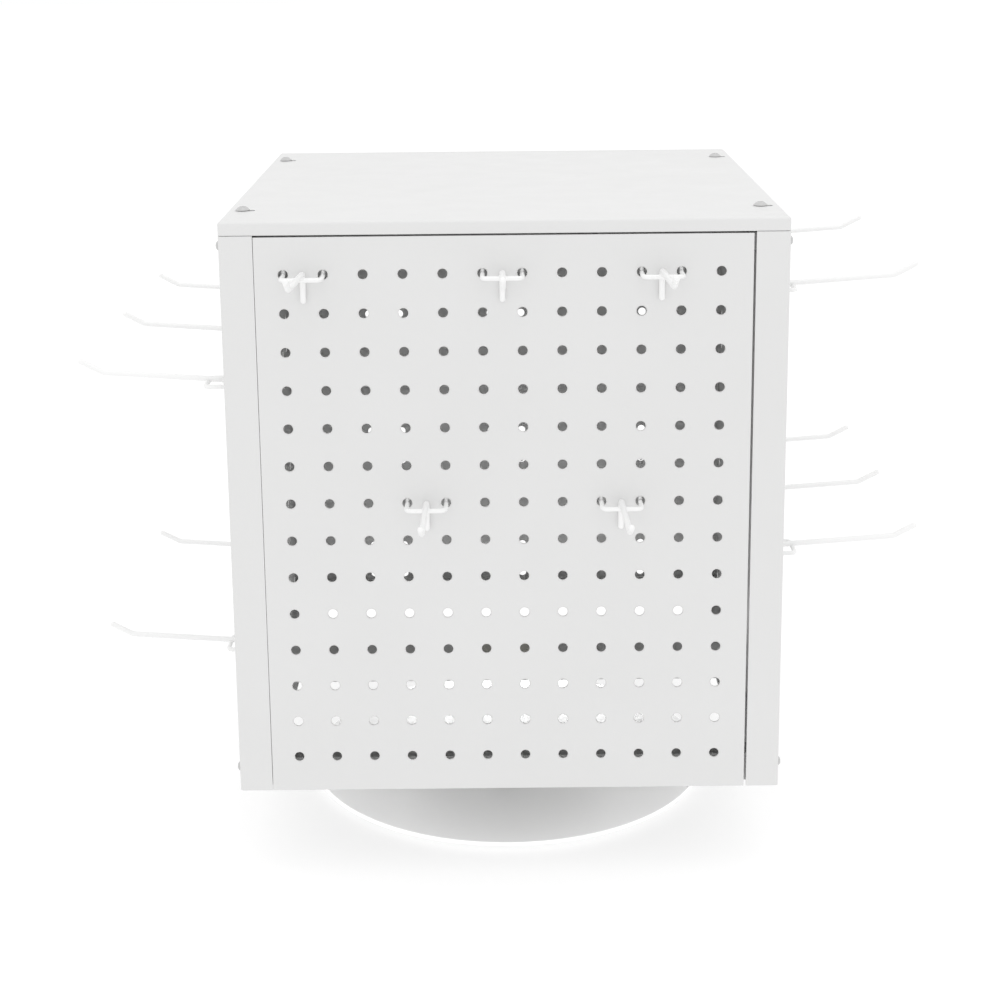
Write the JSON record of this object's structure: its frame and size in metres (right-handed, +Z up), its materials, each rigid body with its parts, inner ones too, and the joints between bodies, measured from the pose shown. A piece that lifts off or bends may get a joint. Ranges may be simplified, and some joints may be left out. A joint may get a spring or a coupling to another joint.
{
  "type": "pegboard display stand",
  "caption": "Countertop four-sided pegboard display stand on a round base, revolving, with twenty wire hooks.",
  "frame": {"origin": "centre of the footprint at the bottom of the feet", "axes": "+Z up, -Y out of the front panel, +X to the right when facing the front panel"},
  "size_m": [0.564, 0.564, 0.4556],
  "materials": {
    "powder_coat": "satin",
    "coated_wire": "satin",
    "zinc_steel": "satin",
    "nylon": "matte",
    "rubber_foot": "matte"
  },
  "bodies": {
    "base": {"base_disc": "powder_coat", "base_foot_1": "rubber_foot", "base_foot_2": "rubber_foot", "base_foot_3": "rubber_foot", "base_foot_4": "rubber_foot", "base_hub": "zinc_steel", "pole": "zinc_steel", "pole_bolt": "zinc_steel"},
    "body": {"side_panel_left": "powder_coat", "side_panel_right": "powder_coat", "front_panel": "powder_coat", "back_panel": "powder_coat", "rail_bottom_front": "powder_coat", "rail_bottom_back": "powder_coat", "rail_top_front": "powder_coat", "rail_top_back": "powder_coat", "crossbar_bottom": "powder_coat", "crossbar_top": "powder_coat", "bush_bottom": "nylon", "bush_top": "nylon", "top_cover": "powder_coat", "cover_screw_front_left": "powder_coat", "cover_screw_front_right": "powder_coat", "cover_screw_back_left": "powder_coat", "cover_screw_back_right": "powder_coat", "side_screw_front_left_bottom": "powder_coat", "side_screw_front_left_top": "powder_coat", "side_screw_front_right_bottom": "powder_coat", "side_screw_front_right_top": "powder_coat", "side_screw_back_left_bottom": "powder_coat", "side_screw_back_left_top": "powder_coat", "side_screw_back_right_bottom": "powder_coat", "side_screw_back_right_top": "powder_coat"},
    "hook_front_1": {"hook_front_1": "coated_wire"},
    "hook_front_2": {"hook_front_2": "coated_wire"},
    "hook_front_3": {"hook_front_3": "coated_wire"},
    "hook_front_4": {"hook_front_4": "coated_wire"},
    "hook_front_5": {"hook_front_5": "coated_wire"},
    "hook_right_1": {"hook_right_1": "coated_wire"},
    "hook_right_2": {"hook_right_2": "coated_wire"},
    "hook_right_3": {"hook_right_3": "coated_wire"},
    "hook_right_4": {"hook_right_4": "coated_wire"},
    "hook_right_5": {"hook_right_5": "coated_wire"},
    "hook_back_1": {"hook_back_1": "coated_wire"},
    "hook_back_2": {"hook_back_2": "coated_wire"},
    "hook_back_3": {"hook_back_3": "coated_wire"},
    "hook_back_4": {"hook_back_4": "coated_wire"},
    "hook_back_5": {"hook_back_5": "coated_wire"},
    "hook_left_1": {"hook_left_1": "coated_wire"},
    "hook_left_2": {"hook_left_2": "coated_wire"},
    "hook_left_3": {"hook_left_3": "coated_wire"},
    "hook_left_4": {"hook_left_4": "coated_wire"},
    "hook_left_5": {"hook_left_5": "coated_wire"}
  },
  "joints": [
    {"name": "spin", "type": "hinge", "parent": "base", "child": "body", "pos_m": [0, 0, 0.2], "axis": [0, 0, 1], "continuous": true},
    {"name": "tip_front_1", "type": "hinge", "parent": "body", "child": "hook_front_1", "pos_m": [-0.1286, -0.1814, 0.4179], "axis": [-1, 0, 0], "range_deg": [0, 30]},
    {"name": "tip_front_2", "type": "hinge", "parent": "body", "child": "hook_front_2", "pos_m": [-0.0016, -0.1814, 0.4179], "axis": [-1, 0, 0], "range_deg": [0, 30]},
    {"name": "tip_front_3", "type": "hinge", "parent": "body", "child": "hook_front_3", "pos_m": [0.1, -0.1814, 0.4179], "axis": [-1, 0, 0], "range_deg": [0, 30]},
    {"name": "tip_front_4", "type": "hinge", "parent": "body", "child": "hook_front_4", "pos_m": [-0.0524, -0.1814, 0.2655], "axis": [-1, 0, 0], "range_deg": [0, 30]},
    {"name": "tip_front_5", "type": "hinge", "parent": "body", "child": "hook_front_5", "pos_m": [0.0746, -0.1814, 0.2655], "axis": [-1, 0, 0], "range_deg": [0, 30]},
    {"name": "tip_right_1", "type": "hinge", "parent": "body", "child": "hook_right_1", "pos_m": [0.1814, -0.1016, 0.3925], "axis": [0, -1, 0], "range_deg": [0, 30]},
    {"name": "tip_right_2", "type": "hinge", "parent": "body", "child": "hook_right_2", "pos_m": [0.1814, 0.1016, 0.3925], "axis": [0, -1, 0], "range_deg": [0, 30]},
    {"name": "tip_right_3", "type": "hinge", "parent": "body", "child": "hook_right_3", "pos_m": [0.1814, -0.127, 0.2147], "axis": [0, -1, 0], "range_deg": [0, 30]},
    {"name": "tip_right_4", "type": "hinge", "parent": "body", "child": "hook_right_4", "pos_m": [0.1814, 0, 0.2147], "axis": [0, -1, 0], "range_deg": [0, 30]},
    {"name": "tip_right_5", "type": "hinge", "parent": "body", "child": "hook_right_5", "pos_m": [0.1814, 0.127, 0.2147], "axis": [0, -1, 0], "range_deg": [0, 30]},
    {"name": "tip_back_1", "type": "hinge", "parent": "body", "child": "hook_back_1", "pos_m": [0.0778, 0.1814, 0.3671], "axis": [1, 0, 0], "range_deg": [0, 30]},
    {"name": "tip_back_2", "type": "hinge", "parent": "body", "child": "hook_back_2", "pos_m": [-0.0746, 0.1814, 0.3671], "axis": [1, 0, 0], "range_deg": [0, 30]},
    {"name": "tip_back_3", "type": "hinge", "parent": "body", "child": "hook_back_3", "pos_m": [0.1286, 0.1814, 0.1893], "axis": [1, 0, 0], "range_deg": [0, 30]},
    {"name": "tip_back_4", "type": "hinge", "parent": "body", "child": "hook_back_4", "pos_m": [0.0016, 0.1814, 0.1893], "axis": [1, 0, 0], "range_deg": [0, 30]},
    {"name": "tip_back_5", "type": "hinge", "parent": "body", "child": "hook_back_5", "pos_m": [-0.1254, 0.1814, 0.1893], "axis": [1, 0, 0], "range_deg": [0, 30]},
    {"name": "tip_left_1", "type": "hinge", "parent": "body", "child": "hook_left_1", "pos_m": [-0.1814, 0.1524, 0.3417], "axis": [0, 1, 0], "range_deg": [0, 30]},
    {"name": "tip_left_2", "type": "hinge", "parent": "body", "child": "hook_left_2", "pos_m": [-0.1814, 0, 0.3417], "axis": [0, 1, 0], "range_deg": [0, 30]},
    {"name": "tip_left_3", "type": "hinge", "parent": "body", "child": "hook_left_3", "pos_m": [-0.1814, -0.1524, 0.3417], "axis": [0, 1, 0], "range_deg": [0, 30]},
    {"name": "tip_left_4", "type": "hinge", "parent": "body", "child": "hook_left_4", "pos_m": [-0.1814, 0.1016, 0.1385], "axis": [0, 1, 0], "range_deg": [0, 30]},
    {"name": "tip_left_5", "type": "hinge", "parent": "body", "child": "hook_left_5", "pos_m": [-0.1814, -0.1016, 0.1385], "axis": [0, 1, 0], "range_deg": [0, 30]}
  ]
}
